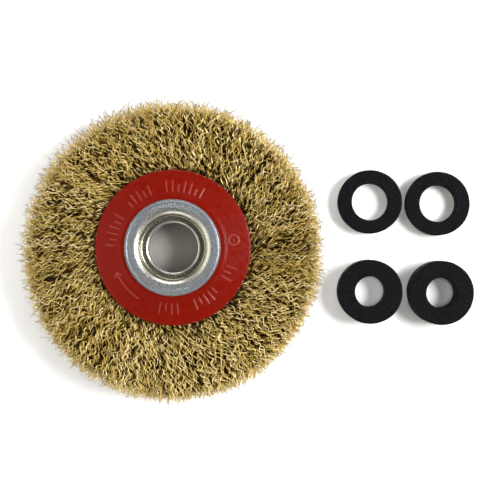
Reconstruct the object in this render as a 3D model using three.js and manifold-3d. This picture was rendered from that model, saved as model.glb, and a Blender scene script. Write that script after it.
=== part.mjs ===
// A crimped-wire wheel for a bench grinder, lying flat, with four loose reducing bushes beside it.
// Millimetres, +Z up. The origin is on the bench, under the middle of the whole layout.
// The wheel's axis stands upright, and its front face points up.

import * as THREE from "three";
import { mergeVertices } from "three/addons/utils/BufferGeometryUtils.js";
import Module from "manifold-3d";

// Driving dimensions of the wheel.
const WHEEL_RADIUS = 76;
const FACE_WIDTH = 25;
const HUB_WIDTH = 24.6;
const BORE_RADIUS = 12.7;
const WHEEL_X = -39;
const BUNDLE_COUNT = 12;
const CLEARANCE = 0.3;

// Hub cups: one pressed cup on each side, with a recess for a bush and a flange over the side plate.
const CUP_SHEET = 1.2;
const RECESS_RADIUS = 16.75;
const RECESS_FLOOR_HEIGHT = 4.2;
const FLOOR_CORNER_RADIUS = 1.0;
const LIP_RADIUS = 1.9;
const FLANGE_RADIUS = 23.6;
const FLANGE_FOOT_RADIUS = 24.3;
const FLANGE_FOOT_HEIGHT = 0.5;
const FLANGE_EDGE_RADIUS = 0.4;

// Arbor sleeve: a thin tube through both cups, rolled over at each end.
const SLEEVE_BEAD_RADIUS = 0.7;

// Side plates: shallow painted cones with a raised seat and a turned rim.
const PLATE_SHEET = 1.0;
const PLATE_RADIUS = 39.5;
const PLATE_SEAT_RADIUS = 26.2;
const PLATE_CONE_RADIUS = 27.2;
const PLATE_CONE_DROP = 1.0;
const PLATE_RIM_DROP = 2.6;
const PLATE_EDGE_DROP = 3.85;
const PLATE_BEND_RADIUS = 1.2;

// Core spacer and keeper ring, both hidden between the side plates.
const SPACER_OUTER_RADIUS = 20.5;
const KEEPER_RADIUS = 24.5;
const KEEPER_WIRE_RADIUS = 2.5;

// The wire fill: [radius, half width] along its front face, from the core to the tips.
const FILL_OUTLINE = [
  [20.8, 9.2],
  [25.6, 9.3],
  [27.2, 8.3],
  [38.6, 6.5],
  [39.9, 6.6],
  [45, 9.2],
  [50, 10.8],
  [56, 11.9],
  [62, FACE_WIDTH / 2],
  [70.5, FACE_WIDTH / 2],
  [74, 11.5],
  [WHEEL_RADIUS, 9],
];

// Reducing bushes: two that bring the recess down to 3/4 in, and two thicker ones for 5/8 in.
const BUSH_RADIUS = 16.5;
const BUSH_CHAMFER = 0.5;
const WIDE_BUSH = { bore: 19.05 / 2, height: 7 };
const NARROW_BUSH = { bore: 15.875 / 2, height: 12 };
const BUSHES = [
  { name: "bush_19mm_a", size: WIDE_BUSH, x: 62.3, y: 23.8 },
  { name: "bush_19mm_b", size: WIDE_BUSH, x: 97.4, y: 22.9 },
  { name: "bush_16mm_a", size: NARROW_BUSH, x: 61.9, y: -22.7 },
  { name: "bush_16mm_b", size: NARROW_BUSH, x: 98.5, y: -23.3 },
];

// How finely round shapes are divided.
const HUB_SEGMENTS = 40;
const FILL_SEGMENTS = 48;
const TORUS_SIDES = 8;
const ARC_STEP = Math.PI / 4;

const FLANGE_TOP = HUB_WIDTH / 2;
const PLATE_TOP = FLANGE_TOP - CUP_SHEET - CLEARANCE;
const CUP_WALL_RADIUS = RECESS_RADIUS + CUP_SHEET;
const CORE_RADIUS = CUP_WALL_RADIUS + CLEARANCE;
const SLEEVE_RADIUS = BORE_RADIUS + SLEEVE_BEAD_RADIUS;

const wasm = await Module();
wasm.setup();

const materials = {
  wire: new THREE.MeshStandardMaterial({ color: "#9c8450", roughness: 0.4, metalness: 0.9 }),
  paint: new THREE.MeshStandardMaterial({ color: "#96200f", roughness: 0.35, metalness: 0.1 }),
  zinc: new THREE.MeshStandardMaterial({ color: "#9fa1a4", roughness: 0.38, metalness: 0.9 }),
  steel: new THREE.MeshStandardMaterial({ color: "#b9b9b6", roughness: 0.25, metalness: 0.95 }),
  core: new THREE.MeshStandardMaterial({ color: "#6e6c68", roughness: 0.5, metalness: 0.9 }),
  moulding: new THREE.MeshStandardMaterial({ color: "#202123", roughness: 0.6, metalness: 0 }),
};

// The points that round one corner of an outline, or the corner itself where its radius is 0.
function roundCorner(before, corner, after) {
  const [r, z, radius = 0] = corner;
  const point = new THREE.Vector2(r, z);
  if (radius === 0) return [point];
  const toBefore = new THREE.Vector2(before[0] - r, before[1] - z).normalize();
  const toAfter = new THREE.Vector2(after[0] - r, after[1] - z).normalize();
  const half = Math.acos(toBefore.dot(toAfter)) / 2;
  const middle = toBefore.clone().add(toAfter).normalize();
  const centre = point.clone().addScaledVector(middle, radius / Math.sin(half));
  const start = point.clone().addScaledVector(toBefore, radius / Math.tan(half)).sub(centre);
  const end = point.clone().addScaledVector(toAfter, radius / Math.tan(half)).sub(centre);
  const turn = Math.atan2(start.cross(end), start.dot(end));
  const steps = Math.max(1, Math.round(Math.abs(turn) / ARC_STEP));
  return Array.from({ length: steps + 1 }, (_, i) =>
    start.clone().rotateAround(new THREE.Vector2(), (turn * i) / steps).add(centre),
  );
}

// A closed outline, from its corners [radius, height, corner radius].
function outline(corners) {
  return corners.flatMap((corner, i) =>
    roundCorner(corners.at(i - 1), corner, corners[(i + 1) % corners.length]),
  );
}

// A ring turned about +Z from a closed outline of (radius, height) points.
function turned(points, segments) {
  const loop = THREE.ShapeUtils.area(points) < 0 ? points.toReversed() : points;
  const ring = new THREE.LatheGeometry([...loop, loop[0]], segments);
  return ring.rotateX(Math.PI / 2);
}

// The corner radius whose flat sides just touch a true circle, so that a round shaft still passes.
function aroundCircle(radius) {
  return radius / Math.cos(Math.PI / HUB_SEGMENTS);
}

function toSolid(geometry) {
  const bare = geometry.clone();
  bare.deleteAttribute("normal");
  bare.deleteAttribute("uv");
  const merged = mergeVertices(bare, 1e-3);
  const mesh = new wasm.Mesh({
    numProp: 3,
    vertProperties: merged.attributes.position.array,
    triVerts: new Uint32Array(merged.index.array),
  });
  return new wasm.Manifold(mesh);
}

function toGeometry(solid) {
  const { vertProperties, triVerts } = solid.getMesh();
  const geometry = new THREE.BufferGeometry();
  geometry.setAttribute("position", new THREE.BufferAttribute(vertProperties, 3));
  geometry.setIndex(new THREE.BufferAttribute(triVerts, 1));
  geometry.computeVertexNormals();
  return geometry;
}

function named(name, geometry, material) {
  const mesh = new THREE.Mesh(geometry, material);
  mesh.name = name;
  return mesh;
}

// The same piece on the front of the wheel, and turned over on its back.
function frontAndBack(name, geometry, material) {
  const front = named(`front_${name}`, geometry, material);
  const back = named(`back_${name}`, geometry, material);
  back.rotation.x = Math.PI;
  return [front, back];
}

function hubCup() {
  const floorRadius = SLEEVE_RADIUS + CLEARANCE;
  const flangeUnderside = FLANGE_TOP - CUP_SHEET;
  const footTop = flangeUnderside + FLANGE_FOOT_HEIGHT;
  const floorUnderside = RECESS_FLOOR_HEIGHT - CUP_SHEET;
  return turned(
    outline([
      [floorRadius, RECESS_FLOOR_HEIGHT],
      [RECESS_RADIUS, RECESS_FLOOR_HEIGHT, FLOOR_CORNER_RADIUS],
      [RECESS_RADIUS, FLANGE_TOP, LIP_RADIUS],
      [FLANGE_RADIUS, FLANGE_TOP, FLANGE_EDGE_RADIUS],
      [FLANGE_RADIUS, footTop],
      [FLANGE_FOOT_RADIUS, footTop],
      [FLANGE_FOOT_RADIUS, flangeUnderside],
      [CUP_WALL_RADIUS, flangeUnderside, LIP_RADIUS - CUP_SHEET],
      [CUP_WALL_RADIUS, floorUnderside, FLOOR_CORNER_RADIUS + CUP_SHEET],
      [floorRadius, floorUnderside],
    ]),
    HUB_SEGMENTS,
  );
}

function sidePlate() {
  const underside = PLATE_TOP - PLATE_SHEET;
  const rimRadius = PLATE_RADIUS - PLATE_SHEET;
  const edge = PLATE_TOP - PLATE_EDGE_DROP;
  return turned(
    outline([
      [CORE_RADIUS, PLATE_TOP],
      [PLATE_SEAT_RADIUS, PLATE_TOP, PLATE_BEND_RADIUS],
      [PLATE_CONE_RADIUS, PLATE_TOP - PLATE_CONE_DROP, PLATE_BEND_RADIUS / 2],
      [PLATE_RADIUS, PLATE_TOP - PLATE_RIM_DROP, PLATE_BEND_RADIUS],
      [PLATE_RADIUS, edge],
      [rimRadius, edge],
      [rimRadius, underside - PLATE_RIM_DROP],
      [PLATE_CONE_RADIUS - PLATE_SHEET / 2, underside - PLATE_CONE_DROP],
      [PLATE_SEAT_RADIUS - PLATE_SHEET / 2, underside],
      [CORE_RADIUS, underside],
    ]),
    HUB_SEGMENTS,
  );
}

function arborSleeve() {
  const beadHeight = RECESS_FLOOR_HEIGHT + CLEARANCE + SLEEVE_BEAD_RADIUS;
  const bore = aroundCircle(BORE_RADIUS);
  const bead = [];
  for (let angle = -Math.PI / 2; angle < Math.PI - ARC_STEP / 2; angle += ARC_STEP) {
    const r = SLEEVE_RADIUS + SLEEVE_BEAD_RADIUS * Math.cos(angle);
    bead.push(new THREE.Vector2(r, beadHeight + SLEEVE_BEAD_RADIUS * Math.sin(angle)));
  }
  bead.push(new THREE.Vector2(bore, beadHeight));
  const mirrored = bead.toReversed().map(({ x, y }) => new THREE.Vector2(x, -y));
  return turned([...bead, ...mirrored], HUB_SEGMENTS);
}

function coreSpacer() {
  const half = PLATE_TOP - PLATE_SHEET - CLEARANCE;
  return turned(
    outline([
      [CORE_RADIUS, -half],
      [SPACER_OUTER_RADIUS, -half],
      [SPACER_OUTER_RADIUS, half],
      [CORE_RADIUS, half],
    ]),
    HUB_SEGMENTS,
  );
}

function keeperRing(wireRadius) {
  return new THREE.TorusGeometry(KEEPER_RADIUS, wireRadius, TORUS_SIDES, FILL_SEGMENTS);
}

// A wedge along +X, as wide as one bundle, with half the clearance taken off each side.
function bundleWedge() {
  const halfAngle = Math.PI / BUNDLE_COUNT;
  const apex = CLEARANCE / 2 / Math.sin(halfAngle);
  const reach = 1.2 * WHEEL_RADIUS;
  const shape = new THREE.Shape([
    new THREE.Vector2(apex, 0),
    new THREE.Vector2(apex + reach, -reach * Math.tan(halfAngle)),
    new THREE.Vector2(apex + reach, reach * Math.tan(halfAngle)),
  ]);
  const depth = 2 * FACE_WIDTH;
  const wedge = new THREE.ExtrudeGeometry(shape, { depth, bevelEnabled: false });
  return wedge.translate(0, 0, -depth / 2);
}

// One bundle of the fill: a sector of the wire ring, hung over the keeper ring in an open channel.
function wireBundle() {
  const face = FILL_OUTLINE.map(([r, half]) => new THREE.Vector2(r, half));
  const back = face.toReversed().map(({ x, y }) => new THREE.Vector2(x, -y));
  const ring = toSolid(turned([...face, ...back], FILL_SEGMENTS));
  const channel = toSolid(keeperRing(KEEPER_WIRE_RADIUS + CLEARANCE));
  return toGeometry(ring.subtract(channel).intersect(toSolid(bundleWedge())));
}

function bush({ bore, height }) {
  const inner = aroundCircle(bore);
  const innerTop = inner + BUSH_CHAMFER;
  const outerTop = BUSH_RADIUS - BUSH_CHAMFER;
  return turned(
    outline([
      [innerTop, 0],
      [outerTop, 0],
      [BUSH_RADIUS, BUSH_CHAMFER],
      [BUSH_RADIUS, height - BUSH_CHAMFER],
      [outerTop, height],
      [innerTop, height],
      [inner, height - BUSH_CHAMFER],
      [inner, BUSH_CHAMFER],
    ]),
    HUB_SEGMENTS,
  );
}

function makeWheel() {
  const wheel = new THREE.Group();
  wheel.position.set(WHEEL_X, 0, FACE_WIDTH / 2);
  const bundle = wireBundle();
  for (let i = 0; i < BUNDLE_COUNT; i += 1) {
    const mesh = named(`wire_bundle_${String(i + 1).padStart(2, "0")}`, bundle, materials.wire);
    mesh.rotation.z = (i * 2 * Math.PI) / BUNDLE_COUNT;
    wheel.add(mesh);
  }
  wheel.add(named("keeper_ring", keeperRing(KEEPER_WIRE_RADIUS), materials.core));
  wheel.add(named("core_spacer", coreSpacer(), materials.core));
  wheel.add(...frontAndBack("side_plate", sidePlate(), materials.paint));
  wheel.add(...frontAndBack("hub_cup", hubCup(), materials.zinc));
  wheel.add(named("arbor_sleeve", arborSleeve(), materials.steel));
  return wheel;
}

function makeBushes() {
  const bushes = new THREE.Group();
  for (const { name, size, x, y } of BUSHES) {
    const mesh = named(name, bush(size), materials.moulding);
    mesh.position.set(x, y, 0);
    bushes.add(mesh);
  }
  return bushes;
}

const group = new THREE.Group();
group.add(makeWheel(), makeBushes());

export default group;
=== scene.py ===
"""Looks for a crimped wire wheel lying flat beside its four loose reducing bushes.

Lengths are in metres, in the CAD's frame: +Z is up along the wheel's axis, +X runs from the wheel
towards the bushes, and z = 0 is the bench. A piece of the wheel is laid out about the centre of the
wheel, then moved to its place.
"""

import math

import bpy
import numpy as np
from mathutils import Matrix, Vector


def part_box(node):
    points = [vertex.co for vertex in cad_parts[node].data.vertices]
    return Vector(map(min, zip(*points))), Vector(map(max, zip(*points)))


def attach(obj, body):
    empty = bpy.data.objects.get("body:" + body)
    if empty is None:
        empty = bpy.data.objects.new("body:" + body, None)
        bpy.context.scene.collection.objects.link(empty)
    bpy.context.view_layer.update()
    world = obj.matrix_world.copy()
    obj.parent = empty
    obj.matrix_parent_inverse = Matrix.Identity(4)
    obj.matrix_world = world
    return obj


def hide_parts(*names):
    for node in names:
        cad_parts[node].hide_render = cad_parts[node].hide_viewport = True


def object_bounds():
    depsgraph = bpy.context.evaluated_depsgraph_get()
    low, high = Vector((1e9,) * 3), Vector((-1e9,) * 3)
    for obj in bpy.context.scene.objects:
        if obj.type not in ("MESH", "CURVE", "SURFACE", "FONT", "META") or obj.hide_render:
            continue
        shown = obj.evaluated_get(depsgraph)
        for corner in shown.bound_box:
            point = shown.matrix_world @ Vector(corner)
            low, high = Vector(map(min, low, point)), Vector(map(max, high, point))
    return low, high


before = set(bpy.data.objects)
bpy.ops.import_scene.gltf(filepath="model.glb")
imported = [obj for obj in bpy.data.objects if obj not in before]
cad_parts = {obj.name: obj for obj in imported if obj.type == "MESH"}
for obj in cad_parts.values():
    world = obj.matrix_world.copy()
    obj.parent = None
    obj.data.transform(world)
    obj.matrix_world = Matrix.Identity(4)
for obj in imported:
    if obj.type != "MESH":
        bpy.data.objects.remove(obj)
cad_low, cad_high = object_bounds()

MM = 0.001
DEGREE = math.pi / 180
SEED = 61

# Driving sizes, from the frame.
BUNDLES = sorted(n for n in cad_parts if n.startswith("wire_bundle"))
BUSHES = sorted(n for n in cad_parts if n.startswith("bush"))
PLATE_LOW, PLATE_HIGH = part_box("front_side_plate")
CUP_LOW, CUP_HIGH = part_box("front_hub_cup")
SLEEVE_LOW, SLEEVE_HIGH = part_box("arbor_sleeve")
KEEPER_LOW, KEEPER_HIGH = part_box("keeper_ring")
SPACER_LOW, SPACER_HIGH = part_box("core_spacer")
AXIS_X = (PLATE_LOW.x + PLATE_HIGH.x) / 2
AXIS_Y = (PLATE_LOW.y + PLATE_HIGH.y) / 2
AXIS_Z = (SLEEVE_LOW.z + SLEEVE_HIGH.z) / 2
WHEEL_CENTRE = np.array([AXIS_X, AXIS_Y, AXIS_Z])
WHEEL_RADIUS = AXIS_X - cad_low.x
HALF_FACE = AXIS_Z
PLATE_RADIUS = (PLATE_HIGH.x - PLATE_LOW.x) / 2
PLATE_TOP = PLATE_HIGH.z - AXIS_Z
CUP_RADIUS = (CUP_HIGH.x - CUP_LOW.x) / 2
CUP_TOP = CUP_HIGH.z - AXIS_Z
CUP_FLOOR = CUP_LOW.z - AXIS_Z
SLEEVE_RADIUS = (SLEEVE_HIGH.x - SLEEVE_LOW.x) / 2
SLEEVE_HALF = (SLEEVE_HIGH.z - SLEEVE_LOW.z) / 2
KEEPER_WIRE = (KEEPER_HIGH.z - KEEPER_LOW.z) / 2
KEEPER_RADIUS = (KEEPER_HIGH.x - KEEPER_LOW.x) / 2 - KEEPER_WIRE
SPACER_RADIUS = (SPACER_HIGH.x - SPACER_LOW.x) / 2
SPACER_HALF = (SPACER_HIGH.z - SPACER_LOW.z) / 2

# Sizes that the boxes don't give.
CUP_SHEET = 1.2 * MM
PLATE_SHEET = 1.0 * MM
GAP = 0.3 * MM
BORE_RADIUS = 12.7 * MM
SLEEVE_WALL = 0.4 * (SLEEVE_RADIUS - BORE_RADIUS)
CUP_BORE = 13.7 * MM
RECESS_RADIUS = 16.75 * MM
SPACER_WALL = 2.25 * MM
SPACER_ROUND = 0.3 * MM
COLLAR_RADIUS = PLATE_RADIUS - 13.3 * MM
CONE_RADIUS = PLATE_RADIUS - 11.6 * MM
CONE_TOP = PLATE_TOP - 0.5 * MM
RIM_TOP = PLATE_TOP - 2.6 * MM
BUSH_BORES = {"bush_19mm": 19.05 * MM / 2, "bush_16mm": 15.875 * MM / 2}
TALL_BUSH = "bush_16mm"

# How finely the turned pieces are drawn.
FINE = 0.25 * MM
COARSE = 1.5 * MM
FILLET_STEPS = 7
SHARP_ANGLE = 35 * DEGREE
PLATE_SEGMENTS = 840
CUP_SEGMENTS = 960
SLEEVE_SEGMENTS = 256
CORE_SEGMENTS = 192
BUSH_SEGMENTS = 240

# The wire fill's half width at each radius, outside the side plates.
FILL_RADII = np.array([38.6, 40, 45, 50, 56, 62, 70.5, 74, 80]) * MM
FILL_HALVES = np.array([6.5, 6.8, 9.0, 10.4, 11.5, 12.1, 12.2, 12.0, 11.4]) * MM

# The wires. Each one is a U: a leg on the front, a bend round the keeper ring, a leg on the back.
WIRES_PER_BUNDLE = 268
WIRE_RADIUS = 0.18 * MM
WIRE_SIDES = 3
COVERED_RADIUS = 36 * MM
COVERED_POINTS = 6
SHOWN_POINTS = 53
BEND_POINTS = 5
BEND_CLEARANCE = 0.5 * MM

# Where the wires end. They reach furthest towards one side, and are more ragged on the other.
TIP_RADIUS = 74.6 * MM
TIP_SPREAD = 2.0 * MM
TIP_SPREAD_CHANGE = 0.45
SPREAD_LIMIT = 2.6
TIP_TAPER = 4 * MM
TIP_THINNESS = 0.6
LONG_SIDE = -100 * DEGREE
LONG_SIDE_EXTRA = 2.7 * MM
STRAY_SHARE = 0.02
STRAY_EXTRA = 4.5 * MM
STRAY_RANGE = (0.2, 1)

# How the wires lie in the fill. Most are near a face, and INNER_SHARE of them are spread inside.
# LEAN is how far a wire strays from its own radius by the rim, and LEG_SHIFT is how far its back
# leg lies from its front one, both in radians.
INNER_SHARE = 0.38
INNER_REACH = 0.8
FACE_BIAS = 0.3
FACE_INSET = 0.9 * MM
RING_CLEARANCES = (0.3 * MM, 1.2 * MM)
BENCH_GAP = 0.3 * MM
LEAN = 0.10
LEG_SHIFT = 0.02

# The waves of a wire. Each slow one is a (size, length), and the short one is the wire's crimp. The
# side plates hold a wire straight inside FREE_START, and it waves in full outside FREE_END. Each
# range is the shares of the full figure that the wires draw from.
FREE_START = 30 * MM
FREE_END = 39 * MM
RISE_WAVE = (0.9 * MM, 12 * MM)
SIDE_WAVES = ((1.1 * MM, 16 * MM), (0.6 * MM, 8 * MM))
LENGTH_RANGE = (0.8, 1.25)
CRIMP_DEPTH = 0.85 * MM
CRIMP_DEPTH_RANGE = (0.6, 1.3)
CRIMP_LENGTH = 4.2 * MM
CRIMP_ROLL = 0.45
CRIMP_TWIST = 1.2
STRAIGHT_TIP = 3 * MM
STRAIGHT_TIP_SHARE = 0.35


# ---------------------------------------------------------------- mesh building

def new_mesh(name, points, face_groups, materials, picks=None):
    """A smooth object. The faces of a group have as many corners, and picks gives their materials."""
    mesh = bpy.data.meshes.new(name)
    corners = np.concatenate([group.ravel() for group in face_groups])
    sizes = np.concatenate([np.full(len(group), group.shape[1]) for group in face_groups])
    starts = np.concatenate([[0], np.cumsum(sizes)[:-1]])
    mesh.vertices.add(len(points))
    mesh.vertices.foreach_set("co", points.astype(np.float32).ravel())
    mesh.loops.add(len(corners))
    mesh.loops.foreach_set("vertex_index", corners.astype(np.int32))
    mesh.polygons.add(len(sizes))
    mesh.polygons.foreach_set("loop_start", starts.astype(np.int32))
    mesh.polygons.foreach_set("use_smooth", np.ones(len(sizes), bool))
    for material in materials:
        mesh.materials.append(material)
    if picks is not None:
        mesh.polygons.foreach_set("material_index", picks.astype(np.int32))
    mesh.update(calc_edges=True)
    mesh.validate()
    obj = bpy.data.objects.new(name, mesh)
    bpy.context.scene.collection.objects.link(obj)
    return obj


def fillet(corner, before, after, radius):
    """Points along the round that replaces a corner."""
    back = (before - corner) / np.linalg.norm(before - corner)
    forth = (after - corner) / np.linalg.norm(after - corner)
    half = math.acos(np.clip(back @ forth, -1, 1)) / 2
    bisector = (back + forth) / np.linalg.norm(back + forth)
    centre = corner + bisector * radius / math.sin(half)
    start = corner + back * radius / math.tan(half) - centre
    end = corner + forth * radius / math.tan(half) - centre
    first = math.atan2(start[1], start[0])
    sweep = (math.atan2(end[1], end[0]) - first + math.pi) % (2 * math.pi) - math.pi
    turns = first + sweep * np.linspace(0, 1, FILLET_STEPS + 1)
    return [centre + radius * np.array([math.cos(turn), math.sin(turn)]) for turn in turns]


def outline(corners):
    """A closed outline, anticlockwise, from (radius, height, fillet, step of the edge after)."""
    places = [np.array(corner[:2]) for corner in corners]
    points = []
    for i, (_, _, radius, step) in enumerate(corners):
        after = places[(i + 1) % len(places)]
        rounded = [places[i]]
        if radius:
            rounded = fillet(places[i], places[i - 1], after, radius)
        points.extend((point, COARSE) for point in rounded[:-1])
        points.append((rounded[-1], step))
    filled = []
    for i, (point, step) in enumerate(points):
        following = points[(i + 1) % len(points)][0]
        count = max(1, math.ceil(np.linalg.norm(following - point) / step))
        filled.extend(point + (following - point) * k / count for k in range(count))
    ring = np.array(filled)
    following = np.roll(ring, -1, axis=0)
    area = np.sum(ring[:, 0] * following[:, 1] - following[:, 0] * ring[:, 1])
    return ring if area > 0 else ring[::-1]


def turned(name, ring, segments, material, relief=None, flipped=False, centre=WHEEL_CENTRE):
    """A closed solid of revolution about an upright axis.

    relief takes and returns the radius, angle and height of the points, and flipped turns the solid
    over for the wheel's back side.
    """
    angles = 2 * np.pi * np.arange(segments) / segments
    radius, angle = np.meshgrid(ring[:, 0], angles, indexing="ij")
    height = np.repeat(ring[:, 1:], segments, axis=1)
    if relief is not None:
        radius, height = relief(radius, angle, height)
    points = np.stack([radius * np.cos(angle), radius * np.sin(angle), height], axis=2)
    if flipped:
        points *= np.array([-1, 1, -1])
    index = np.arange(len(ring) * segments).reshape(len(ring), segments)
    there = np.roll(index, -1, axis=0)
    quads = np.stack([index, np.roll(index, -1, 1), np.roll(there, -1, 1), there], axis=2)
    solid = new_mesh(name, points.reshape(-1, 3) + centre, [quads.reshape(-1, 4)], [material])
    solid.data.set_sharp_from_angle(angle=SHARP_ANGLE)
    return solid


def place_piece(piece, body, node):
    """Says which body a piece rides on, and hides the node it stands for."""
    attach(piece, body)
    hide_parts(node)


# ---------------------------------------------------------------- materials

def new_material(name, colour, metallic, roughness, specular=0.5):
    """A material, with its tree and its shader node."""
    material = bpy.data.materials.new(name)
    material.use_nodes = True
    tree = material.node_tree
    shader = tree.nodes["Principled BSDF"]
    shader.inputs["Base Color"].default_value = (*colour, 1)
    shader.inputs["Metallic"].default_value = metallic
    shader.inputs["Roughness"].default_value = roughness
    shader.inputs["Specular IOR Level"].default_value = specular
    return material, tree, shader


def object_place(tree):
    """The point being shaded, in metres, as it lies at rest."""
    return tree.nodes.new("ShaderNodeTexCoord").outputs["Object"]


def noise(tree, size, detail=2.0, stretch=(1, 1, 1)):
    """Noise from 0 to 1 whose blobs are about as long as size."""
    mapping = tree.nodes.new("ShaderNodeMapping")
    mapping.inputs["Scale"].default_value = stretch
    tree.links.new(object_place(tree), mapping.inputs["Vector"])
    texture = tree.nodes.new("ShaderNodeTexNoise")
    texture.inputs["Scale"].default_value = 1 / size
    texture.inputs["Detail"].default_value = detail
    tree.links.new(mapping.outputs["Vector"], texture.inputs["Vector"])
    return texture.outputs["Fac"]


def line_noise(tree, value, size):
    """Noise that changes only with value, for the fine lines of turning and brushing."""
    texture = tree.nodes.new("ShaderNodeTexNoise")
    texture.noise_dimensions = "1D"
    texture.inputs["Scale"].default_value = 1 / size
    texture.inputs["Detail"].default_value = 3.0
    tree.links.new(value, texture.inputs["W"])
    return texture.outputs["Fac"]


def axis_distance(tree, x=AXIS_X, y=AXIS_Y):
    """Distance from an upright axis, which is the wheel's own unless x and y say otherwise."""
    shift = tree.nodes.new("ShaderNodeVectorMath")
    shift.operation = "SUBTRACT"
    shift.inputs[1].default_value = (x, y, 0)
    tree.links.new(object_place(tree), shift.inputs[0])
    flat = tree.nodes.new("ShaderNodeVectorMath")
    flat.operation = "MULTIPLY"
    flat.inputs[1].default_value = (1, 1, 0)
    tree.links.new(shift.outputs[0], flat.inputs[0])
    length = tree.nodes.new("ShaderNodeVectorMath")
    length.operation = "LENGTH"
    tree.links.new(flat.outputs[0], length.inputs[0])
    return length.outputs["Value"]


def height_above_bench(tree):
    split = tree.nodes.new("ShaderNodeSeparateXYZ")
    tree.links.new(object_place(tree), split.inputs[0])
    return split.outputs["Z"]


def ranged(tree, value, start, end, low, high):
    """value from start to end, mapped to low to high and held there."""
    node = tree.nodes.new("ShaderNodeMapRange")
    for socket, number in zip(("From Min", "From Max", "To Min", "To Max"), (start, end, low, high)):
        node.inputs[socket].default_value = number
    tree.links.new(value, node.inputs["Value"])
    return node.outputs["Result"]


def combined(tree, operation, first, second):
    """One step of arithmetic on two values. Each is a number or a socket."""
    node = tree.nodes.new("ShaderNodeMath")
    node.operation = operation
    for socket, value in zip(node.inputs, (first, second)):
        if isinstance(value, (int, float)):
            socket.default_value = value
        else:
            tree.links.new(value, socket)
    return node.outputs[0]


def tinted(tree, factor, first, second):
    """A colour that goes from first to second with factor. Each is a colour or a socket."""
    node = tree.nodes.new("ShaderNodeMix")
    node.data_type = "RGBA"
    tree.links.new(factor, node.inputs["Factor"])
    colours = [socket for socket in node.inputs if socket.type == "RGBA"]
    for socket, colour in zip(colours, (first, second)):
        if isinstance(colour, tuple):
            socket.default_value = (*colour, 1)
        else:
            tree.links.new(colour, socket)
    return [socket for socket in node.outputs if socket.type == "RGBA"][0]


def bumped(tree, shader, height, depth):
    """Bump of that depth, in metres, where height goes from 0 to 1."""
    bump = tree.nodes.new("ShaderNodeBump")
    bump.inputs["Distance"].default_value = depth
    tree.links.new(height, bump.inputs["Height"])
    tree.links.new(bump.outputs["Normal"], shader.inputs["Normal"])


# Tints of the wires, with light and shade painted in: lit where they are exposed, painted shade a little
# way in and darker painted shade deep in the fill, and a tint for the tips.
OUTER_LIT_TINTS = [(0.71, 0.525, 0.158), (0.54, 0.39, 0.094), (0.97, 0.80, 0.40)]
MIDDLE_SHADE_TINTS = [(0.23, 0.15, 0.032), (0.145, 0.09, 0.018)]
INNER_SHADE_TINTS = [(0.045, 0.027, 0.007)]
TIP_TINTS = [(0.38, 0.31, 0.18)]
WIRE_TINTS = OUTER_LIT_TINTS + MIDDLE_SHADE_TINTS + INNER_SHADE_TINTS + TIP_TINTS

# The depths, in mm, down to which a wire has an outer and a middle tint, and what shifts the depth.
# Painted shade from the side plates grows inwards from SHADE_START, and painted light makes the fill
# brighter from BRIGHT_START outwards. A step standing above its neighbours is painted lighter.
# TIP_START is how far past the rim the ends take the tip tint.
OUTER_DEPTH = 1.7
MIDDLE_DEPTH = 2.9
DEPTH_SPREAD = 0.3
STANDOUT_LIGHT_GAIN = 1.4
STANDOUT_STEPS = 3
PLATE_SHADE = 1.7
SHADE_START = 50 * MM
SHADE_WIDTH = 10 * MM
RIM_PAINTED_LIGHT = 0.8
BRIGHT_START = 60 * MM
BRIGHT_WIDTH = 8 * MM
TIP_START = 1.2 * MM
TIP_COVER = 0.5 * MM


def wire_materials():
    """Brass-coated steel in each tint, with drawing marks and patches of duller coating."""
    made = []
    for i, tint in enumerate(WIRE_TINTS):
        material, tree, shader = new_material(f"brass_wire_{i + 1}", tint, 0.9, 0.5)
        dull = noise(tree, 1.4 * MM, 3.0)
        tree.links.new(ranged(tree, dull, 0.3, 0.7, 0.28, 0.5), shader.inputs["Roughness"])
        bumped(tree, shader, noise(tree, 0.25 * MM, 2.0, stretch=(1, 1, 3)), 0.03 * MM)
        made.append(material)
    return made


def red_paint():
    """Glossy red enamel: orange peel, dust and rubbed patches, and chips at the outer edge."""
    material, tree, shader = new_material("red_enamel", (0.20, 0.008, 0.003), 0.0, 0.3, 0.11)
    red = tinted(tree, noise(tree, 9 * MM, 3.0), (0.145, 0.004, 0.001), (0.182, 0.0055, 0.0015))
    dust = ranged(tree, noise(tree, 0.7 * MM, 4.0), 0.62, 0.78, 0.0, 0.22)
    dusty = tinted(tree, dust, red, (0.36, 0.08, 0.045))
    radius = axis_distance(tree)
    above_middle = combined(tree, "SUBTRACT", height_above_bench(tree), AXIS_Z)
    cone = ranged(tree, radius, CONE_RADIUS, PLATE_RADIUS, CONE_TOP, RIM_TOP)
    lift = combined(tree, "SUBTRACT", combined(tree, "ABSOLUTE", above_middle, 0), cone)
    on_cone = ranged(tree, radius, CONE_RADIUS + 0.3 * MM, CONE_RADIUS + 0.7 * MM, 0, 1)
    wear = combined(tree, "MULTIPLY", ranged(tree, lift, 0.05 * MM, 0.2 * MM, 0, 0.26), on_cone)
    worn = tinted(tree, wear, dusty, (0.42, 0.12, 0.08))
    edge = ranged(tree, radius, PLATE_RADIUS - RIM_FILLET, PLATE_RADIUS, 0.0, 1.0)
    chip = ranged(tree, noise(tree, 1.6 * MM, 4.0), 0.60, 0.64, 0.0, 1.0)
    bare = combined(tree, "MULTIPLY", edge, chip)
    tree.links.new(tinted(tree, bare, worn, (0.22, 0.20, 0.19)), shader.inputs["Base Color"])
    rough = ranged(tree, noise(tree, 3 * MM, 4.0), 0.35, 0.7, 0.22, 0.42)
    tree.links.new(rough, shader.inputs["Roughness"])
    bumped(tree, shader, noise(tree, 1.1 * MM, 2.0), 0.05 * MM)
    return material


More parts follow.
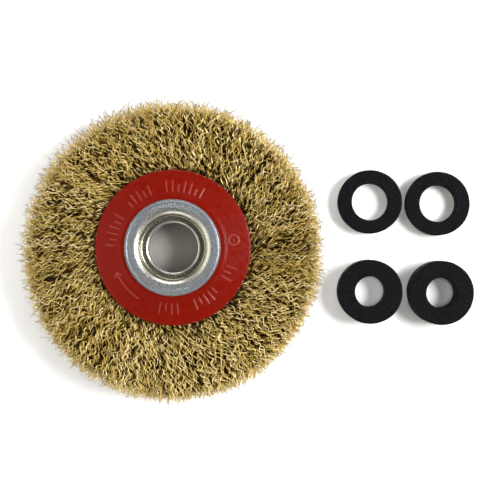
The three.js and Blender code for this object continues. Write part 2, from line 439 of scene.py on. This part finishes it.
def zinc_plate():
    """Bright zinc on pressed steel: fine speckle and darker handled patches."""
    material, tree, shader = new_material("zinc_plating", (0.6, 0.61, 0.63), 1.0, 0.4)
    speckle = ranged(tree, noise(tree, 0.5 * MM, 4.0), 0.38, 0.62, 0.0, 1.0)
    patch = ranged(tree, noise(tree, 5 * MM, 3.0), 0.4, 0.7, 0.0, 0.6)
    base = tinted(tree, speckle, (0.32, 0.35, 0.39), (0.56, 0.59, 0.63))
    plated = tinted(tree, patch, base, (0.40, 0.425, 0.45))
    radius = axis_distance(tree)
    # The lip is tinted lighter and cream as a painted highlight, and is also smoother.
    lip = ranged(tree, radius, RECESS_RADIUS + LIP_WIDTH, RECESS_RADIUS + LIP_WIDTH + 1.2 * MM, 1, 0)
    # The recess is tinted darker and olive as painted shade.
    recess = ranged(tree, radius, RECESS_RADIUS - 0.5 * MM, RECESS_RADIUS + 0.4 * MM, 1, 0)
    lip_highlighted = tinted(tree, lip, plated, (0.54, 0.52, 0.45))
    tree.links.new(tinted(tree, recess, lip_highlighted, (0.42, 0.41, 0.33)), shader.inputs["Base Color"])
    rough = ranged(tree, noise(tree, 0.8 * MM, 4.0), 0.35, 0.65, 0.28, 0.50)
    smoother = combined(tree, "MULTIPLY", rough, ranged(tree, lip, 0, 1, 1, 0.75))
    tree.links.new(smoother, shader.inputs["Roughness"])
    grain = combined(tree, "MULTIPLY", noise(tree, 0.45 * MM, 3.0), ranged(tree, lip, 0, 1, 1, 0.04))
    bumped(tree, shader, grain, 0.04 * MM)
    return material


def turned_steel():
    """Bright sleeve steel with turning lines round it and faint stains."""
    material, tree, shader = new_material("turned_steel", (0.7, 0.7, 0.68), 1.0, 0.25)
    run = combined(tree, "ADD", axis_distance(tree), height_above_bench(tree))
    lines = line_noise(tree, run, 0.12 * MM)
    stain = ranged(tree, noise(tree, 4 * MM, 3.0), 0.45, 0.7, 0.0, 0.7)
    tree.links.new(tinted(tree, stain, (0.84, 0.83, 0.80), (0.66, 0.64, 0.60)),
                   shader.inputs["Base Color"])
    tree.links.new(ranged(tree, lines, 0.3, 0.7, 0.2, 0.34), shader.inputs["Roughness"])
    bumped(tree, shader, lines, 0.012 * MM)
    return material


def rolled_steel():
    """Plain rolled steel of the hidden core: mill scale patches and a fine bumpy grain."""
    material, tree, shader = new_material("rolled_steel", (0.36, 0.35, 0.34), 1.0, 0.5)
    scale = ranged(tree, noise(tree, 2.5 * MM, 4.0), 0.4, 0.65, 0.0, 1.0)
    tree.links.new(tinted(tree, scale, (0.40, 0.39, 0.38), (0.22, 0.19, 0.17)),
                   shader.inputs["Base Color"])
    tree.links.new(ranged(tree, scale, 0.0, 1.0, 0.42, 0.66), shader.inputs["Roughness"])
    bumped(tree, shader, noise(tree, 0.6 * MM, 3.0), 0.05 * MM)
    return material


def black_moulding():
    """Moulded black nylon: a fine matt grain, paler scuffs and traces of flow."""
    material, tree, shader = new_material("black_nylon", (0.005, 0.005, 0.006), 0.0, 0.6, 0.035)
    scuff = ranged(tree, noise(tree, 1.2 * MM, 5.0), 0.58, 0.72, 0.0, 1.0)
    flow = tinted(tree, noise(tree, 6 * MM, 2.0), (0.003, 0.003, 0.004), (0.007, 0.007, 0.008))
    tree.links.new(tinted(tree, scuff, flow, (0.018, 0.018, 0.019)), shader.inputs["Base Color"])
    rough = ranged(tree, noise(tree, 1.5 * MM, 3.0), 0.35, 0.65, 0.5, 0.72)
    tree.links.new(rough, shader.inputs["Roughness"])
    bumped(tree, shader, noise(tree, 0.35 * MM, 4.0), 0.07 * MM)
    return material


# ---------------------------------------------------------------- wires

def drifting(rng, radii, length):
    """The phase along each wire of a wave about that long. Each wire has its own length and start."""
    count = len(radii)
    lengths = length * rng.uniform(*LENGTH_RANGE, (count, 1))
    return 2 * np.pi * radii / lengths + rng.uniform(0, 2 * np.pi, (count, 1))


def wave(rng, radii, size, length):
    """Waves of that size along each wire."""
    return size * np.sin(drifting(rng, radii, length))


def long_share(angles):
    """1 towards the side where the wires reach furthest, and -1 on the other side."""
    return np.cos(angles - LONG_SIDE)


def rim_radius(angles):
    """The wires' mean reach at each angle."""
    return TIP_RADIUS + LONG_SIDE_EXTRA * long_share(angles)


def wire_ends(rng, angles):
    """How far out each wire ends."""
    count = len(angles)
    spread = TIP_SPREAD * (1 - TIP_SPREAD_CHANGE * long_share(angles)[:, None])
    draws = np.clip(rng.normal(0, 1, (count, 1)), -SPREAD_LIMIT, SPREAD_LIMIT)
    stray = rng.uniform(0, 1, (count, 1)) < STRAY_SHARE
    extra = stray * rng.uniform(*STRAY_RANGE, (count, 1)) * STRAY_EXTRA
    return rim_radius(angles)[:, None] + spread * draws + extra


def leg_radii(tips):
    """The radius at each point of each leg: a few under the side plates, then many out to its tip."""
    covered = np.linspace(KEEPER_RADIUS, COVERED_RADIUS, COVERED_POINTS, endpoint=False)
    shown = COVERED_RADIUS + (tips - COVERED_RADIUS) * np.linspace(0, 1, SHOWN_POINTS)
    return np.concatenate([np.tile(covered, (len(tips), 1)), shown], axis=1)


def leg_heights(rng, r, free, side):
    """The height at each point of each leg: up from the keeper ring, then along its own layer."""
    count = len(r)
    share = rng.uniform(0, 1, (count, 1))
    inner = rng.uniform(0, 1, (count, 1)) < INNER_SHARE
    share = np.where(inner, INNER_REACH * share, share ** FACE_BIAS)
    lift = free * wave(rng, r, *RISE_WAVE)
    half = np.interp(r, FILL_RADII, FILL_HALVES) - FACE_INSET
    ring_height = KEEPER_WIRE + rng.uniform(*RING_CLEARANCES, (count, 1))
    rise = np.clip((r - KEEPER_RADIUS) / (FILL_RADII[0] - KEEPER_RADIUS), 0, 1)
    rise = rise * rise * (3 - 2 * rise)
    rising = ring_height + (share * half[:, :1] - ring_height) * rise
    return side * np.where(r < FILL_RADII[0], rising, share * half) + lift


def crimps(rng, r, depth, outward):
    """How far the crimp moves each point sideways and up. It turns slowly round the wire."""
    phase = drifting(rng, r, CRIMP_LENGTH)
    across = depth * np.sin(phase)
    along = CRIMP_ROLL * depth * np.cos(phase)
    count = len(r)
    turn = rng.uniform(0, 2 * np.pi, (count, 1)) + rng.normal(0, CRIMP_TWIST, (count, 1)) * outward
    sideways = across * np.cos(turn) - along * np.sin(turn)
    up = across * np.sin(turn) + along * np.cos(turn)
    return sideways, up


def leg_paths(rng, angles, side):
    """The crimped run of each wire from the keeper ring out to its tip, on one side."""
    count = len(angles)
    tips = wire_ends(rng, angles)
    r = leg_radii(tips)
    outward = np.clip((r - FILL_RADII[0]) / (WHEEL_RADIUS - FILL_RADII[0]), 0, 1.1)
    free = np.clip((r - FREE_START) / (FREE_END - FREE_START), 0, 1)
    height = leg_heights(rng, r, free, side)
    wander = sum(free * wave(rng, r, *sizes) for sizes in SIDE_WAVES)
    lean = rng.normal(0, LEAN, (count, 1)) * outward
    straight_tip = np.clip((tips - r) / STRAIGHT_TIP, STRAIGHT_TIP_SHARE, 1)
    depth = CRIMP_DEPTH * rng.uniform(*CRIMP_DEPTH_RANGE, (count, 1)) * free * straight_tip
    sideways, up = crimps(rng, r, depth, outward)
    limit = HALF_FACE - BENCH_GAP
    height = np.clip(height + up, -limit, limit)
    angle = angles[:, None] + lean + (wander + sideways) / r
    return np.stack([r * np.cos(angle), r * np.sin(angle), height], axis=2)


def wire_paths(rng, bundle_angle):
    """Each wire's centre line: out on the front side, round the keeper ring, out on the back."""
    half = np.pi / len(BUNDLES)
    spread = (np.arange(WIRES_PER_BUNDLE) + rng.uniform(0, 1, WIRES_PER_BUNDLE)) / WIRES_PER_BUNDLE
    angles = bundle_angle + half * (2 * spread - 1)
    front = leg_paths(rng, angles, 1)
    back = leg_paths(rng, angles + rng.normal(0, LEG_SHIFT, len(angles)), -1)
    bend = []
    for turn in np.linspace(0, np.pi, BEND_POINTS + 2)[1:-1]:
        mix = (1 + math.cos(turn)) / 2
        point = front[:, 0] * mix + back[:, 0] * (1 - mix)
        reach = (KEEPER_WIRE + BEND_CLEARANCE) * math.sin(turn)
        point[:, :2] *= 1 - reach / np.hypot(point[:, :1], point[:, 1:2])
        bend.append(point)
    return np.concatenate([front[:, ::-1], np.stack(bend, axis=1), back], axis=1)


def tubes(paths, radius):
    """Closed tubes along paths of shape (wires, points, 3), as points, side quads and end caps."""
    wires, steps, _ = paths.shape
    along = np.gradient(paths, axis=1)
    along /= np.linalg.norm(along, axis=2, keepdims=True)
    around = np.stack([-paths[..., 1], paths[..., 0], np.zeros((wires, steps))], axis=2)
    first = np.cross(along, around)
    first /= np.linalg.norm(first, axis=2, keepdims=True)
    second = np.cross(along, first)
    turns = (2 * np.pi * np.arange(WIRE_SIDES) / WIRE_SIDES)[:, None]
    circle = np.cos(turns) * first[:, :, None] + np.sin(turns) * second[:, :, None]
    reach = np.hypot(paths[..., 0], paths[..., 1])
    tip = np.maximum(reach[:, :1], reach[:, -1:])
    taper = np.clip(TIP_THINNESS + (1 - TIP_THINNESS) * (tip - reach) / TIP_TAPER, TIP_THINNESS, 1)
    points = paths[:, :, None] + radius * taper[:, :, None, None] * circle
    index = np.arange(wires * steps * WIRE_SIDES).reshape(wires, steps, WIRE_SIDES)
    here = index[:, :-1]
    there = index[:, 1:]
    quads = np.stack([here, np.roll(here, -1, 2), np.roll(there, -1, 2), there], axis=3)
    caps = np.concatenate([index[:, 0, ::-1], index[:, -1]])
    return points.reshape(-1, 3), quads.reshape(-1, 4), caps


def wire_tints(rng, paths):
    """A tint for each step of each wire, with light and shade painted in: lit where it is exposed, and
    in painted shade deep in the fill.

    The depth is the distance in mm to the nearer face, to the rim or to just past the wire's own tip,
    whichever is least. A step that stands above its neighbours along the wire counts as shallower, as
    does the fill near the rim, which paints light on them. The fill next to the side plates counts as
    deeper, which paints shade there.
    """
    middle = (paths[:, 1:] + paths[:, :-1]) / 2
    r = np.hypot(middle[..., 0], middle[..., 1])
    to_face = np.interp(r, FILL_RADII, FILL_HALVES) - np.abs(middle[..., 2])
    steps = r.shape[1] // 2
    tips = np.repeat(np.stack([r[:, 0], r[:, -1]], axis=1), (steps, r.shape[1] - steps), axis=1)
    rim = rim_radius(np.arctan2(middle[..., 1], middle[..., 0]))
    depth = np.minimum(to_face, np.minimum(rim - r, tips - r + TIP_COVER)) / MM
    rise = np.abs(middle[..., 2])
    near = range(-STANDOUT_STEPS, STANDOUT_STEPS + 1)
    level = sum(np.roll(rise, k, axis=1) for k in near) / len(near)
    # Painted light and shade: a step above its neighbours and the fill near the rim get lighter tints,
    # the fill by the side plates darker ones.
    depth += rng.normal(0, DEPTH_SPREAD, (len(paths), 1)) - STANDOUT_LIGHT_GAIN * (rise - level) / MM
    depth += PLATE_SHADE * np.clip((SHADE_START - r) / SHADE_WIDTH, 0, 1)
    depth -= RIM_PAINTED_LIGHT * np.clip((r - BRIGHT_START) / BRIGHT_WIDTH, 0, 1)
    # Lit tints near the surface, painted shade tints further into the fill.
    outer = rng.integers(0, len(OUTER_LIT_TINTS), (len(paths), 1))
    inner = len(OUTER_LIT_TINTS) + rng.integers(0, len(MIDDLE_SHADE_TINTS), (len(paths), 1))
    deep = len(OUTER_LIT_TINTS) + len(MIDDLE_SHADE_TINTS)
    picks = np.where(depth < OUTER_DEPTH, outer, np.where(depth < MIDDLE_DEPTH, inner, deep))
    return np.where(r > rim + TIP_START, deep + 1, picks)


def make_wires(materials):
    """One piece for each bundle of wires, turned to the middle of the bundle's box."""
    rng = np.random.default_rng(SEED)
    step = 2 * np.pi / len(BUNDLES)
    for i, node in enumerate(BUNDLES):
        low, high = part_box(node)
        centre = (low + high) / 2
        bundle_angle = step * round(math.atan2(centre.y - AXIS_Y, centre.x - AXIS_X) / step)
        paths = wire_paths(rng, bundle_angle)
        points, quads, caps = tubes(paths, WIRE_RADIUS)
        tints = wire_tints(rng, paths)
        ends = np.concatenate([tints[:, 0], tints[:, -1]])
        picks = np.concatenate([np.repeat(tints.ravel(), WIRE_SIDES), ends])
        wires = new_mesh(f"wires_{i + 1:02d}", points + WHEEL_CENTRE, [quads, caps], materials, picks)
        place_piece(wires, "wheel", node)


# ---------------------------------------------------------------- pressed and turned pieces

# A side plate's rounds, the length of its folded rim, and how far in the corners of its underside
# sit from those of its top.
COLLAR_FILLET = 2.0 * MM
CONE_FILLET = 1.5 * MM
RIM_FILLET = 0.9 * MM
PLATE_SKIRT = 1.25 * MM
STEP_INSET = 0.5 * MM

# A hub cup's lip round the recess, the groove near its edge and the thin ledge outside that.
LIP_WIDTH = 1.8 * MM
LIP_DROP = 1.4 * MM
LIP_FILLET = 4.4 * MM
LIP_LOW_FILLET = 0.9 * MM
RECESS_FILLET = 1.0 * MM
GROOVE_INSET = 0.65 * MM
GROOVE_WIDTH = 0.5 * MM
GROOVE_SLOPE = 0.2 * MM
GROOVE_DEPTH = 0.3 * MM
GROOVE_FILLET = 0.15 * MM
EDGE_FILLET = 0.35 * MM
CUP_LEDGE = 0.7 * MM
LEDGE_SHEET = 0.5 * MM

# The ticks pressed into a hub cup's annulus. TICK_ARC is the sine at which each arc of them starts.
TICK_RADIUS = 21.4 * MM
TICK_HALF_LENGTH = 1.1 * MM
TICK_SOFT_END = 0.3 * MM
TICK_ARC = 0.86
TICK_ARC_SOFT = 0.03
TICK_COUNT = 96
TICK_WIDENING = 1.5
TICK_BAND = 0.5 * MM
TICK_DEPTH = 0.05 * MM

# How finely the sleeve's beads and the keeper ring's section are drawn.
BEAD_STEPS = 12
BEAD_STEP = math.pi / 8
RING_STEPS = 20

# The strokes pressed into a side plate, all on one circle. Angles are in degrees.
MARK_RADIUS = 30.9 * MM
MARK_HEIGHT = 5.4 * MM
MARK_STROKE = 0.75 * MM
MARK_LIFT = 0.27 * MM
STROKE_SIDE = 0.15 * MM
BAR_GROUPS = ((62, 7), (112, 5), (150, 6), (258, 4), (292, 5), (330, 3))
BAR_PITCH = 5.6
SHORT_BAR_TOP = MARK_RADIUS + 0.8 * MM
DOT_ANGLE = 7
DOT_RING = 2.6 * MM
DOT_RING_STEPS = 16
ARROW_START = 204
ARROW_STEP = 4
ARROW_STEPS = 8
ARROW_BARB = 1.8 * MM


def stroke_lift(radius, angle, start, end):
    """1 on a rounded stroke between two (radius, angle) places and 0 off it, with soft sides."""
    middle = (start[1] + end[1]) / 2
    across = ((angle - middle + np.pi) % (2 * np.pi) - np.pi) * radius
    first = np.array([(start[1] - middle) * start[0], start[0]])
    along = np.array([(end[1] - middle) * end[0], end[0]]) - first
    share = ((across - first[0]) * along[0] + (radius - first[1]) * along[1]) / max(along @ along, 1e-12)
    share = np.clip(share, 0, 1)
    distance = np.hypot(across - first[0] - share * along[0], radius - first[1] - share * along[1])
    return np.clip((MARK_STROKE / 2 + STROKE_SIDE - distance) / (2 * STROKE_SIDE), 0, 1)


def mark_strokes():
    """Generic strokes round the plate: groups of bars, a ring with a dot, and a turning arrow."""
    low = MARK_RADIUS - MARK_HEIGHT / 2
    high = MARK_RADIUS + MARK_HEIGHT / 2
    strokes = []
    for start, count in BAR_GROUPS:
        for i in range(count):
            at = (start + i * BAR_PITCH) * DEGREE
            top = SHORT_BAR_TOP if i % 3 == 1 else high
            strokes.append(((low, at), (top, at)))
    dot = (MARK_RADIUS, DOT_ANGLE * DEGREE)
    strokes.append((dot, dot))
    ring = []
    for turn in 2 * np.pi * np.arange(DOT_RING_STEPS + 1) / DOT_RING_STEPS:
        out = DOT_RING * math.sin(turn)
        sideways = DOT_RING * math.cos(turn)
        ring.append((MARK_RADIUS + out, dot[1] + sideways / MARK_RADIUS))
    strokes.extend(zip(ring[:-1], ring[1:]))
    shaft = [(MARK_RADIUS, (ARROW_START + i * ARROW_STEP) * DEGREE) for i in range(ARROW_STEPS + 1)]
    strokes.extend(zip(shaft[:-1], shaft[1:]))
    for sign in (-1, 1):
        strokes.append((shaft[0], (MARK_RADIUS + sign * ARROW_BARB, shaft[1][1])))
    return strokes


def plate_relief(radius, angle, height):
    """The plate with its strokes pressed up through the sheet."""
    lift = np.zeros_like(radius)
    for start, end in mark_strokes():
        lift = np.maximum(lift, stroke_lift(radius, angle, start, end))
    return radius, height + MARK_LIFT * lift


def plate_outline():
    """The side plate: flat collar under the hub cup, a step, a cone and a folded rim."""
    bore = RECESS_RADIUS + CUP_SHEET + GAP
    skirt = RIM_TOP - PLATE_SKIRT
    inside = PLATE_RADIUS - PLATE_SHEET
    return outline([
        (bore, PLATE_TOP, 0, COARSE),
        (COLLAR_RADIUS, PLATE_TOP, COLLAR_FILLET, COARSE / 3),
        (CONE_RADIUS, CONE_TOP, CONE_FILLET, FINE),
        (PLATE_RADIUS, RIM_TOP, RIM_FILLET, COARSE / 3),
        (PLATE_RADIUS, skirt, 0, COARSE),
        (inside, skirt, 0, COARSE),
        (inside, RIM_TOP - PLATE_SHEET, 0, COARSE),
        (CONE_RADIUS - STEP_INSET, CONE_TOP - PLATE_SHEET, 0, COARSE),
        (COLLAR_RADIUS - STEP_INSET, PLATE_TOP - PLATE_SHEET, 0, COARSE),
        (bore, PLATE_TOP - PLATE_SHEET, 0, COARSE),
    ])


def cup_outline():
    """The hub cup: a deep recess floor, a rounded lip, a flat annulus, a fine groove and a thin ledge."""
    floor = CUP_FLOOR + CUP_SHEET
    under = CUP_TOP - CUP_SHEET
    edge = CUP_RADIUS - CUP_LEDGE
    groove_out = edge - GROOVE_INSET
    groove_in = groove_out - GROOVE_WIDTH
    recess_outside = RECESS_RADIUS + CUP_SHEET
    return outline([
        (CUP_BORE, floor, 0, 3 * FINE),
        (RECESS_RADIUS, floor, RECESS_FILLET, 3 * FINE),
        (RECESS_RADIUS, CUP_TOP - LIP_DROP, LIP_LOW_FILLET, FINE),
        (RECESS_RADIUS + LIP_WIDTH, CUP_TOP, LIP_FILLET, FINE),
        (groove_in, CUP_TOP, 0, FINE),
        (groove_in + GROOVE_SLOPE, CUP_TOP - GROOVE_DEPTH, 0, FINE),
        (groove_out, CUP_TOP, GROOVE_FILLET, FINE),
        (edge, CUP_TOP, EDGE_FILLET, FINE),
        (edge, under + LEDGE_SHEET, 0, FINE),
        (CUP_RADIUS, under + LEDGE_SHEET, 0, COARSE),
        (CUP_RADIUS, under, 0, COARSE),
        (recess_outside + LIP_WIDTH, under, 0, COARSE),
        (recess_outside, under - LIP_DROP, 0, COARSE),
        (recess_outside, CUP_FLOOR, RECESS_FILLET + CUP_SHEET, COARSE),
        (CUP_BORE, CUP_FLOOR, 0, COARSE),
    ])


def cup_relief(radius, angle, height):
    """The annulus with two arcs of fine radial ticks pressed into it."""
    in_band = np.clip((TICK_HALF_LENGTH - np.abs(radius - TICK_RADIUS)) / TICK_SOFT_END, 0, 1)
    in_arc = np.clip((np.abs(np.sin(angle)) - TICK_ARC) / TICK_ARC_SOFT, 0, 1)
    tick = np.clip(TICK_WIDENING * np.cos(angle * TICK_COUNT), 0, 1)
    on_top = height > CUP_TOP - TICK_BAND
    return radius, height - TICK_DEPTH * in_band * in_arc * tick * on_top


def sleeve_outline():
    """The arbor sleeve: a thin tube rolled outwards into a bead of twice its wall at each end."""
    middle = BORE_RADIUS + SLEEVE_WALL
    corners = []
    for sign, start in ((1, -math.pi / 2), (-1, -math.pi)):
        centre = sign * (SLEEVE_HALF - SLEEVE_WALL)
        for k in range(BEAD_STEPS + 1):
            turn = start + k * BEAD_STEP
            radius = middle + SLEEVE_WALL * math.cos(turn)
            corners.append((radius, centre + SLEEVE_WALL * math.sin(turn), 0, 3 * FINE))
    return outline(corners)


def ring_outline(radius, section):
    """The keeper ring's round section."""
    turns = 2 * np.pi * np.arange(RING_STEPS) / RING_STEPS
    return np.stack([radius + section * np.cos(turns), section * np.sin(turns)], axis=1)


def tube_outline(bore, radius, half, rounding, step):
    """A plain tube with rounded edges, out to half on either side of its middle."""
    corners = [(bore, half), (radius, half), (radius, -half), (bore, -half)]
    return outline([(r, z, rounding, step) for r, z in corners])


def make_hub():
    """The pressed cups and plates on both sides, and the turned pieces between them."""
    red = red_paint()
    zinc = zinc_plate()
    for side, flipped in (("front", False), ("back", True)):
        plate = turned(f"{side}_plate", plate_outline(), PLATE_SEGMENTS, red, plate_relief, flipped)
        place_piece(plate, "wheel", f"{side}_side_plate")
        cup = turned(f"{side}_cup", cup_outline(), CUP_SEGMENTS, zinc, cup_relief, flipped)
        place_piece(cup, "wheel", f"{side}_hub_cup")
    sleeve = turned("sleeve", sleeve_outline(), SLEEVE_SEGMENTS, turned_steel())
    place_piece(sleeve, "wheel", "arbor_sleeve")
    steel = rolled_steel()
    keeper = turned("keeper", ring_outline(KEEPER_RADIUS, KEEPER_WIRE), CORE_SEGMENTS, steel)
    place_piece(keeper, "wheel", "keeper_ring")
    tube = tube_outline(SPACER_RADIUS - SPACER_WALL, SPACER_RADIUS, SPACER_HALF, SPACER_ROUND, COARSE)
    spacer = turned("spacer", tube, CORE_SEGMENTS, steel)
    place_piece(spacer, "wheel", "core_spacer")


# ---------------------------------------------------------------- bushes

BUSH_ROUND = 0.5 * MM

# A moulding is out of round by each of these waves, as (size, waves round it). The bore has less of
# it, the other way, and the top face is sunk by up to twice SINK_DEPTH.
MOULDING_WAVES = ((0.05 * MM, 2), (0.035 * MM, 5), (0.02 * MM, 11))
BORE_WAVE_SHARE = -0.4
SINK_DEPTH = 0.05 * MM
SINK_WAVES = 3
TOP_BAND = 0.3 * MM

# The raised bars on top of a bush, at angles in radians. BAR_REACH is a share of the ring's width.
BUSH_BARS = (0, 0.13, 0.26)
BAR_REACH = 0.22
BAR_LIFT = 0.12 * MM


def bush_relief(bore, radius, height, rng):
    """Slight sinks and unevenness from moulding, and three short raised bars on the top face."""
    *phases, turn = rng.uniform(0, 2 * np.pi, len(MOULDING_WAVES) + 1)
    middle = (bore + radius) / 2
    reach = BAR_REACH * (radius - bore)

    def relief(r, angle, z):
        uneven = sum(size * np.sin(count * angle + phase)
                     for (size, count), phase in zip(MOULDING_WAVES, phases))
        outward = np.where(r > middle, 1.0, BORE_WAVE_SHARE)
        lift = SINK_DEPTH * (np.sin(SINK_WAVES * angle + turn) - 1)
        bars = [stroke_lift(r, angle, (middle - reach, turn + offset), (middle + reach, turn + offset))
                for offset in BUSH_BARS]
        lift += BAR_LIFT * np.maximum.reduce(bars)
        return r + outward * uneven, z + lift * (z > height / 2 - TOP_BAND)

    return relief


def make_bushes():
    """The four loose mouldings, each with its own unevenness."""
    rng = np.random.default_rng(SEED)
    black = black_moulding()
    for node in BUSHES:
        low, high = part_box(node)
        bore = BUSH_BORES[node.rpartition("_")[0]]
        radius = (high.x - low.x) / 2
        height = high.z - low.z
        centre = np.array((low + high) / 2)
        relief = bush_relief(bore, radius, height, rng)
        ring = tube_outline(bore, radius, height / 2, BUSH_ROUND, 3 * FINE)
        bush = turned(f"{node}_moulding", ring, BUSH_SEGMENTS, black, relief, centre=centre)
        place_piece(bush, f"loose_{node}", node)


# ---------------------------------------------------------------- stage

# The studio is a white tent, bright low down all round and dark overhead. The heights at which it
# goes from one to the other are sines of the angle above the horizon.
TENT_GLOW = 0.6
ZENITH_GLOW = 0.07
TENT_LOW = 0.45
TENT_HIGH = 0.85

# The paper is grey under the wheel's bore, as painted shade. It glows a little from just inside the
# wheel's rim outwards, and in the bores of the tall bushes, as painted light.
PAPER_WHITE = (0.93, 0.93, 0.93)
PAPER_HALF = 1.5
BORE_SHADE = (0.33, 0.32, 0.30)
BORE_SHADE_END = 1.5 * BORE_RADIUS
PAINTED_RIM_LIGHT = 0.25
GLOW_START = 0.95 * WHEEL_RADIUS
GLOW_FULL = 1.04 * WHEEL_RADIUS
GLOW_FADES = 1.15 * WHEEL_RADIUS
GLOW_END = 1.7 * WHEEL_RADIUS
PAINTED_BUSH_LIGHT = 0.15

# Each soft box: its place, its size, its power in watts and its colour.
SOFT_BOXES = {
    "key_light": ((1.0, 0.12, 1.06), (0.6, 0.5), 29.0, (1.0, 0.99, 0.98)),
    "left_light": ((-0.85, 0.0, 0.85), (1.2, 0.85), 5.0, (1, 0.95, 0.84)),
    "top_light": ((0.0, 1.2, 0.75), (1.0, 0.5), 6.0, (1, 1, 1)),
    "front_light": ((-0.35, -1.15, 0.75), (1.0, 0.5), 2.5, (1, 0.98, 0.94)),
}

# The camera's place, with its lens and sensor in millimetres.
CAMERA_PLACE = (0, -1.2 * MM, 0.55)
CAMERA_LENS = 75.5
CAMERA_SENSOR = 36


def area_light(name, place, size, power, colour):
    """A soft box aimed at the middle of the bench."""
    light = bpy.data.lights.new(name, "AREA")
    light.shape = "RECTANGLE"
    light.size, light.size_y = size
    light.energy = power
    light.color = colour
    obj = bpy.data.objects.new(name, light)
    bpy.context.scene.collection.objects.link(obj)
    obj.location = place
    obj.rotation_euler = (-Vector(place)).to_track_quat("-Z", "Y").to_euler()


def paper():
    """White paper, with painted shade under the wheel's bore and painted light glowing round the rim and
    in the tall bushes.
    """
    material, tree, shader = new_material("floor_white", PAPER_WHITE, 0.0, 0.9, 0.0)
    tree.links.new(ranged(tree, noise(tree, 8 * MM), 0.3, 0.7, 0.8, 0.95), shader.inputs["Roughness"])
    radius = axis_distance(tree)
    # Painted shade: the paper is grey under the wheel's bore.
    in_bore = ranged(tree, radius, BORE_RADIUS, BORE_SHADE_END, 1, 0)
    tree.links.new(tinted(tree, in_bore, PAPER_WHITE, BORE_SHADE), shader.inputs["Base Color"])
    # Painted light: the paper glows in a ring round the wheel and in the tall bushes' bores.
    rising = ranged(tree, radius, GLOW_START, GLOW_FULL, 0, PAINTED_RIM_LIGHT)
    fading = ranged(tree, radius, GLOW_FADES, GLOW_END, 1, 0)
    glow = combined(tree, "MULTIPLY", rising, fading)
    bore = BUSH_BORES[TALL_BUSH]
    for node in BUSHES:
        if node.startswith(TALL_BUSH):
            low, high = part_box(node)
            distance = axis_distance(tree, (low.x + high.x) / 2, (low.y + high.y) / 2)
            in_bush = ranged(tree, distance, 0.8 * bore, bore, PAINTED_BUSH_LIGHT, 0)
            glow = combined(tree, "ADD", glow, in_bush)
    shader.inputs["Emission Color"].default_value = (1, 1, 1, 1)
    tree.links.new(glow, shader.inputs["Emission Strength"])
    return material


def make_floor():
    """A flat sheet of paper, much wider than the part."""
    corners = PAPER_HALF * np.array([[-1, -1, 0], [1, -1, 0], [1, 1, 0], [-1, 1, 0]])
    new_mesh("floor", corners, [np.array([[0, 1, 2, 3]])], [paper()])


def make_studio():
    """The tent's glow and the soft boxes."""
    world = bpy.data.worlds.new("studio")
    bpy.context.scene.world = world
    world.use_nodes = True
    tree = world.node_tree
    split = tree.nodes.new("ShaderNodeSeparateXYZ")
    tree.links.new(tree.nodes.new("ShaderNodeTexCoord").outputs["Generated"], split.inputs[0])
    tent = ranged(tree, split.outputs["Z"], TENT_LOW, TENT_HIGH, TENT_GLOW, ZENITH_GLOW)
    tree.links.new(tent, tree.nodes["Background"].inputs["Strength"])
    tree.nodes["Background"].inputs["Color"].default_value = (1, 1, 1, 1)
    for name, settings in SOFT_BOXES.items():
        area_light(name, *settings)


def make_camera():
    """The camera above the bench. A new camera looks straight down."""
    camera = bpy.data.cameras.new("camera")
    camera.lens = CAMERA_LENS
    camera.sensor_width = CAMERA_SENSOR
    camera.clip_start = 0.01
    obj = bpy.data.objects.new("camera", camera)
    bpy.context.scene.collection.objects.link(obj)
    obj.location = CAMERA_PLACE
    bpy.context.scene.camera = obj


bpy.context.scene.view_settings.view_transform = "Standard"
make_camera()
make_floor()
make_studio()
make_hub()
make_bushes()
make_wires(wire_materials())
